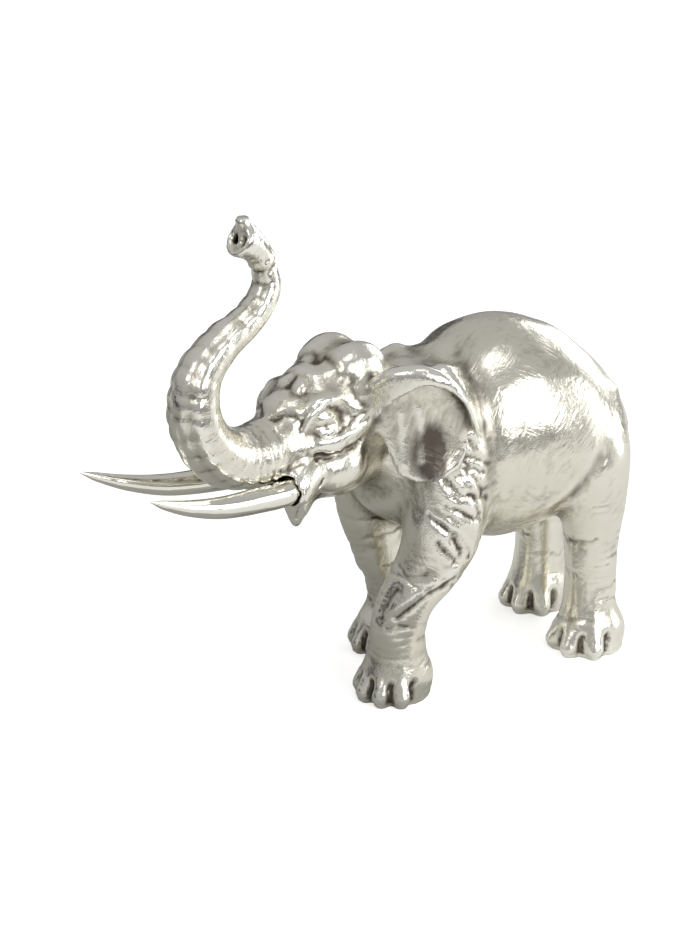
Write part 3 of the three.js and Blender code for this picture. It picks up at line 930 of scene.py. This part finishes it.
class Value:
    """A number in a shader. Reckoning with it adds the Math nodes."""

    def __init__(self, shader, socket):
        self.shader = shader
        self.socket = socket

    def math(self, operation, *values):
        inputs = dict(enumerate(values))
        return self.shader.node("ShaderNodeMath", {"operation": operation}, inputs)

    def __add__(self, other):
        return self.math("ADD", self, other)

    __radd__ = __add__

    def __sub__(self, other):
        return self.math("SUBTRACT", self, other)

    def __rsub__(self, other):
        return self.math("SUBTRACT", other, self)

    def __mul__(self, other):
        return self.math("MULTIPLY", self, other)

    __rmul__ = __mul__

    def __pow__(self, other):
        return self.math("POWER", self, other)

    def held(self, low=0.0, high=1.0):
        return self.math("MAXIMUM", self.math("MINIMUM", self, high), low)


class Shader:
    """The nodes of a material, or of the world, being made."""

    def __init__(self, block):
        block.use_nodes = True
        self.block = block
        self.tree = block.node_tree
        self.tree.nodes.clear()

    def node(self, kind, settings, inputs, output=0):
        """Adds a node with its settings, then its sockets' values or links, and gives one of its outputs."""
        made = self.tree.nodes.new(kind)
        for key, value in settings.items():
            setattr(made, key, value)
        for key, value in inputs.items():
            if isinstance(value, Value):
                self.tree.links.new(value.socket, made.inputs[key])
            else:
                made.inputs[key].default_value = value
        return Value(self, made.outputs[output]) if made.outputs else None

    def place(self):
        return self.node("ShaderNodeTexCoord", {}, {}, "Object")

    def stored(self, name):
        return self.node("ShaderNodeAttribute", {"attribute_name": name}, {}, "Fac")

    def noise(self, scale, turn=(0, 0, 0), stretch=(1, 1, 1), detail=2.0, roughness=0.5):
        """Noise that is stretched and turned, with its mean at a half; scale is in features per metre."""
        mapped = {"Vector": self.place(), "Rotation": tuple(map(math.radians, turn)), "Scale": stretch}
        vector = self.node("ShaderNodeMapping", {"vector_type": "TEXTURE"}, mapped)
        inputs = {"Vector": vector, "Scale": scale, "Detail": detail, "Roughness": roughness}
        return self.node("ShaderNodeTexNoise", {}, inputs, "Fac")

    def step(self, value, low, high):
        inputs = {"Value": value, "From Min": low, "From Max": high}
        return self.node("ShaderNodeMapRange", {"interpolation_type": "SMOOTHSTEP"}, inputs)

    def colour(self, share, first, second):
        """From the first colour to the second, by a share."""
        settings = {"data_type": "RGBA", "clamp_factor": True}
        inputs = {0: share, 6: colour_of(first), 7: colour_of(second)}
        return self.node("ShaderNodeMix", settings, inputs, 2)

    def bump(self, height, distance):
        return self.node("ShaderNodeBump", {}, {"Height": height, "Distance": distance, "Strength": 1.0})

    def finish(self, inputs):
        surface = self.node("ShaderNodeBsdfPrincipled", {}, inputs)
        self.node("ShaderNodeOutputMaterial", {}, {"Surface": surface})
        return self.block


def colour_of(colour):
    return colour if isinstance(colour, Value) else (*colour, 1)


# The chaser's strokes, in features per metre, and how much longer than wide they are.
STROKE_SCALE = 620
STROKE_LENGTH = 5
PATCH_SCALE = 48
PIT_SCALE = 1500


def cast_silver(finish):
    """Tarnished cast silver, worked over with short strokes that change direction from place to place, with painted
    shade in its hollows and a painted dark reflection in each ear.
    """
    shader = Shader(bpy.data.materials.new("cast_silver"))
    steep = shader.noise(STROKE_SCALE, turn=(8, 14, 0), stretch=(1, 1, STROKE_LENGTH))
    slant = shader.noise(STROKE_SCALE, turn=(0, 52, 25), stretch=(1, 1, STROKE_LENGTH))
    level = shader.noise(STROKE_SCALE, turn=(0, -62, -15), stretch=(1, 1, STROKE_LENGTH * 0.7))
    slanting = shader.step(shader.noise(PATCH_SCALE), 0.44, 0.56)
    crossing = shader.step(shader.noise(PATCH_SCALE * 1.3, turn=(0, 0, 90)), 0.5, 0.6)
    strokes = steep + (slant - steep) * slanting
    strokes = strokes + (level - strokes) * crossing
    pits = shader.noise(PIT_SCALE, detail=3)
    patches = shader.noise(PATCH_SCALE * 2, detail=3)
    # Darkening in the hollows, partly tarnish and partly painted shade.
    hollow_tarnish_and_shade = shader.stored("hollow_tarnish_and_shade")
    crest = shader.stored("crest")
    # The darkening: tarnish, random tone and painted shade in the hollows, with the painted dark reflection of each ear
    # added next.
    tarnish_and_painted_dark = hollow_tarnish_and_shade * 0.95 + (0.5 - strokes) * 0.9 + (patches - 0.5) * 0.9 + finish.tarnish - crest * 0.5
    # The painted dark reflection in the dish of each ear.
    tarnish_and_painted_dark = tarnish_and_painted_dark + shader.stored("painted_reflection") * 1.5
    tarnish_and_painted_dark = tarnish_and_painted_dark.held()
    metal = shader.colour(crest, finish.silver, finish.edge)
    return shader.finish(
        {
            "Base Color": shader.colour(tarnish_and_painted_dark, metal, finish.dark),
            "Metallic": 1.0,
            "Roughness": (finish.roughness + tarnish_and_painted_dark * 0.16 - crest * 0.06 + (pits - 0.5) * 0.1).held(0.05, 0.7),
            "Normal": shader.bump(strokes + pits * 0.35, finish.chasing),
        }
    )


def polished_silver(finish):
    """Polished tusks, with the faintest unevenness of a hand-finished surface."""
    shader = Shader(bpy.data.materials.new("polished_silver"))
    swell = shader.noise(90, detail=1)
    haze = shader.noise(600, detail=3)
    return shader.finish(
        {
            "Base Color": shader.colour(haze * 0.5, finish.edge, finish.silver),
            "Metallic": 1.0,
            "Roughness": finish.tusk_roughness + haze * 0.04,
            "Normal": shader.bump(swell, 0.0004),
        }
    )


def finish_solids(finish):
    """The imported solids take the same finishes, for use without the dressed pieces."""
    materials = {"cast_silver": cast_silver(finish), "polished_silver": polished_silver(finish)}
    for node in frame["nodes"].values():
        for index, material in enumerate(node.data.materials):
            if material and material.name.split(".")[0] in materials:
                node.data.materials[index] = materials[material.name.split(".")[0]]


# The camera, and the softboxes as [name, azimuth, elevation, distance, (width, height), brightness].
CAMERA_PLACE = Vector((-0.4419, -0.7496, 0.4678))
CAMERA_TURN = (67, 0, -30)  # degrees
CAMERA_LENS = 91
FLOOR_SIZE = 6
REFLECTED_FLOOR_SIZE = 1.4
SOFTBOXES = [
    ["front_box", 20, 18, 1.5, (1.1, 0.85), 3.6],
    ["side_box", 70, 4, 1.5, (0.6, 0.8), 2.6],
    ["rear_box", 112, 14, 1.5, (0.9, 0.8), 2.1],
    ["left_box", -62, 36, 1.5, (0.5, 0.5), 2.2],
    ["top_box", 10, 72, 1.4, (0.6, 0.4), 1.6],
]
# The part of the reflected floor that lies in shade, from one corner to the other.
SHADED_GROUND = [(-0.7, -0.1), (0.03, 0.5)]
# Dark cards that put the deep reflections into the metal, in the same form without a brightness.
CARDS = [
    ["low_card", 17, -9, 0.5, (0.5, 0.08)],
    ["left_card", -112, -4, 0.9, (0.7, 0.24)],
    ["rear_card", 165, 8, 1.2, (0.5, 0.3)],
]


def facing(azimuth, elevation, distance, aim):
    """The matrix of something that stands off from aim, seen from there, and faces it."""
    turn, rise = math.radians(azimuth), math.radians(elevation)
    out = Vector((math.sin(turn) * math.cos(rise), -math.cos(turn) * math.cos(rise), math.sin(rise)))
    return Matrix.Translation(aim + out * distance) @ out.to_track_quat("Z", "Y").to_matrix().to_4x4()


def put_on_stage(name, data, matrix):
    made = bpy.data.objects.new(name, data)
    made.matrix_world = matrix
    bpy.context.scene.collection.objects.link(made)
    made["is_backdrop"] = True
    return made


def softbox(name, matrix, size, brightness):
    light = bpy.data.lights.new(name, "AREA")
    light.shape = "RECTANGLE"
    light.size, light.size_y = size
    light.energy = brightness * math.pi * size[0] * size[1]
    put_on_stage(name, light, matrix)


def sheet_of(name, size, material):
    mesh = bpy.data.meshes.new(name)
    bm = bmesh.new()
    bmesh.ops.create_grid(bm, size=0.5, matrix=Matrix.Diagonal((*size, 1, 1)))
    bm.to_mesh(mesh)
    bm.free()
    mesh.materials.append(material)
    return mesh


def plain(name, colour, glow=0.0):
    shader = Shader(bpy.data.materials.new(name))
    colour = (*colour, 1)
    inputs = {"Base Color": colour, "Roughness": 0.9, "Emission Color": colour, "Emission Strength": glow}
    return shader.finish(inputs)


def lay_floors(studio):
    """A white floor for the camera, and just under it the greyer one that the metal reflects."""
    white = plain("pale_floor", studio.floor, studio.floor_glow)
    seen = put_on_stage("floor", sheet_of("floor", (FLOOR_SIZE, FLOOR_SIZE), white), Matrix())
    seen.visible_glossy = seen.visible_diffuse = seen.visible_shadow = False
    grey = plain("grey_floor", studio.reflected_floor)
    size = (REFLECTED_FLOOR_SIZE, REFLECTED_FLOOR_SIZE)
    under = Matrix.Translation((0, 0, -0.0005))
    reflected = put_on_stage("reflected_floor", sheet_of("reflected_floor", size, grey), under)
    reflected.visible_camera = False
    (left, front), (right, back) = SHADED_GROUND
    dim = plain("dim_floor", studio.shaded_floor)
    patch = sheet_of("shaded_floor", (right - left, back - front), dim)
    under = Matrix.Translation(((left + right) / 2, (front + back) / 2, -0.0004))
    put_on_stage("shaded_floor", patch, under).visible_camera = False


def surroundings(studio):
    """Studio walls and ceiling, a little brighter overhead."""
    shader = Shader(bpy.data.worlds.new("studio"))
    bpy.context.scene.world = shader.block
    way = shader.node("ShaderNodeTexCoord", {}, {}, "Generated")
    height = shader.node("ShaderNodeSeparateXYZ", {}, {"Vector": way}, "Z")
    level = shader.step(height, 0.1, 0.9)
    rising = shader.step(height, -0.12, 0.05)
    strength = (rising * 0.5 + 0.5) * studio.wall_light + level * (studio.ceiling_light - studio.wall_light)
    background = shader.node("ShaderNodeBackground", {}, {"Color": (1, 0.995, 0.98, 1), "Strength": strength})
    shader.node("ShaderNodeOutputWorld", {}, {"Surface": background})


def set_up_studio(studio):
    low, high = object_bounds()
    middle = (low + high) / 2
    lay_floors(studio)
    surroundings(studio)
    for name, azimuth, elevation, distance, size, brightness in SOFTBOXES:
        softbox(name, facing(azimuth, elevation, distance, middle), size, brightness * studio.light)
    black = plain("black_card", (0.02, 0.02, 0.02))
    for name, azimuth, elevation, distance, size in CARDS:
        card = put_on_stage(name, sheet_of(name, size, black), facing(azimuth, elevation, distance, middle))
        card.visible_camera = card.visible_shadow = card.visible_diffuse = False
    camera = bpy.data.cameras.new("camera")
    camera.lens = CAMERA_LENS
    camera.sensor_width = 36
    made = bpy.data.objects.new("camera", camera)
    made.location = CAMERA_PLACE
    made.rotation_euler = tuple(map(math.radians, CAMERA_TURN))
    bpy.context.scene.collection.objects.link(made)
    bpy.context.scene.camera = made
    bpy.context.scene.view_settings.view_transform = "Standard"


class ElephantShape(bpy.types.PropertyGroup):
    rough_voxel: FloatProperty(
        name="Grain of the masses",
        description="How finely the heavy masses are joined, in layout modules",
        default=0.95,
        min=0.5,
    )
    fine_voxel: FloatProperty(
        name="Grain of the skin",
        description="How finely the finished skin is made, in layout modules",
        default=0.73,
        min=0.5,
    )
    crease_rounds: IntProperty(
        name="Crease rounding",
        description="How widely the creases between the heavy masses are filled",
        default=40,
        min=0,
    )


class SilverFinish(bpy.types.PropertyGroup):
    silver: FloatVectorProperty(
        name="Silver", description="Colour of the clean metal", subtype="COLOR", default=(0.8, 0.777, 0.67), min=0, max=1
    )
    edge: FloatVectorProperty(
        name="Worn edges", description="Colour where hands polish it", subtype="COLOR", default=(0.93, 0.915, 0.85), min=0, max=1
    )
    # The tarnish colour, which also paints the shade in the hollows and the dark reflection in each ear.
    dark: FloatVectorProperty(
        name="Tarnish", description="Colour left in the hollows", subtype="COLOR", default=(0.13, 0.112, 0.095), min=0, max=1
    )
    tarnish: FloatProperty(
        name="Amount of tarnish", description="How far the tarnish spreads", subtype="FACTOR", default=0.06, min=-1, max=1
    )
    roughness: FloatProperty(
        name="Roughness", description="Roughness of the clean metal", subtype="FACTOR", default=0.22, min=0, max=1
    )
    chasing: FloatProperty(
        name="Chasing", description="Depth of the chaser's strokes", unit="LENGTH", precision=5, default=0.0002, min=0
    )
    tusk_roughness: FloatProperty(
        name="Tusk roughness", description="Roughness of the polished tusks", subtype="FACTOR", default=0.05, min=0, max=1
    )


class Studio(bpy.types.PropertyGroup):
    floor: FloatVectorProperty(
        name="Floor", description="Colour of the floor", subtype="COLOR", default=(0.95, 0.95, 0.95), min=0, max=1
    )
    floor_glow: FloatProperty(name="Floor glow", description="Light that the floor gives off itself", default=0.6, min=0)
    reflected_floor: FloatVectorProperty(
        name="Reflected floor",
        description="Colour of the floor as the metal reflects it",
        subtype="COLOR",
        default=(0.95, 0.95, 0.94),
        min=0,
        max=1,
    )
    shaded_floor: FloatVectorProperty(
        name="Shaded floor",
        description="Colour of the reflected floor in the shade",
        subtype="COLOR",
        default=(0.46, 0.46, 0.44),
        min=0,
        max=1,
    )
    light: FloatProperty(name="Lights", description="Share of the softboxes' full brightness", default=1, min=0)
    wall_light: FloatProperty(name="Walls", description="Brightness of the surroundings at floor level", default=0.4, min=0)
    ceiling_light: FloatProperty(name="Ceiling", description="Brightness overhead", default=0.5, min=0)


class ELEPHANT_OT_model_elephant(bpy.types.Operator):
    """Model the cast body, its carving, its tarnish, the painted shade in its hollows and the painted dark reflection
    in each ear
    """

    bl_idname = "elephant.model_elephant"
    bl_label = "Model the elephant"

    def execute(self, context):
        model_elephant(context.scene.elephant_shape, context.scene.silver_finish)
        return {"FINISHED"}


class ELEPHANT_OT_model_tusks(bpy.types.Operator):
    """Model both polished tusks"""

    bl_idname = "elephant.model_tusks"
    bl_label = "Model the tusks"

    def execute(self, context):
        model_tusks(context.scene.silver_finish)
        return {"FINISHED"}


class ELEPHANT_OT_finish_solids(bpy.types.Operator):
    """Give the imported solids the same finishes"""

    bl_idname = "elephant.finish_solids"
    bl_label = "Finish the solids"

    def execute(self, context):
        finish_solids(context.scene.silver_finish)
        return {"FINISHED"}


class ELEPHANT_OT_set_up_studio(bpy.types.Operator):
    """Lay the floor and set up the lights and the camera"""

    bl_idname = "elephant.set_up_studio"
    bl_label = "Set up the studio"

    def execute(self, context):
        set_up_studio(context.scene.elephant_studio)
        return {"FINISHED"}


class ELEPHANT_PT_panel(bpy.types.Panel):
    bl_label = "Silver elephant"
    bl_idname = "ELEPHANT_PT_panel"
    bl_space_type = "VIEW_3D"
    bl_region_type = "UI"
    bl_category = "Elephant"

    def draw(self, context):
        scene = context.scene
        for group in (scene.elephant_shape, scene.silver_finish, scene.elephant_studio):
            box = self.layout.box()
            for name in group.__annotations__:
                box.prop(group, name)
        for operator in OPERATORS:
            self.layout.operator(operator.bl_idname)


OPERATORS = (
    ELEPHANT_OT_model_elephant,
    ELEPHANT_OT_model_tusks,
    ELEPHANT_OT_finish_solids,
    ELEPHANT_OT_set_up_studio,
)
GROUPS = {"elephant_shape": ElephantShape, "silver_finish": SilverFinish, "elephant_studio": Studio}
CLASSES = (*GROUPS.values(), *OPERATORS, ELEPHANT_PT_panel)


def register():
    for item in CLASSES:
        bpy.utils.register_class(item)
    for name, group in GROUPS.items():
        setattr(bpy.types.Scene, name, PointerProperty(type=group))


def unregister():
    for name in GROUPS:
        delattr(bpy.types.Scene, name)
    for item in reversed(CLASSES):
        bpy.utils.unregister_class(item)


def main():
    register()
    bpy.ops.elephant.model_elephant()
    bpy.ops.elephant.model_tusks()
    bpy.ops.elephant.finish_solids()
    bpy.ops.elephant.set_up_studio()


if __name__ == "__main__":
    main()
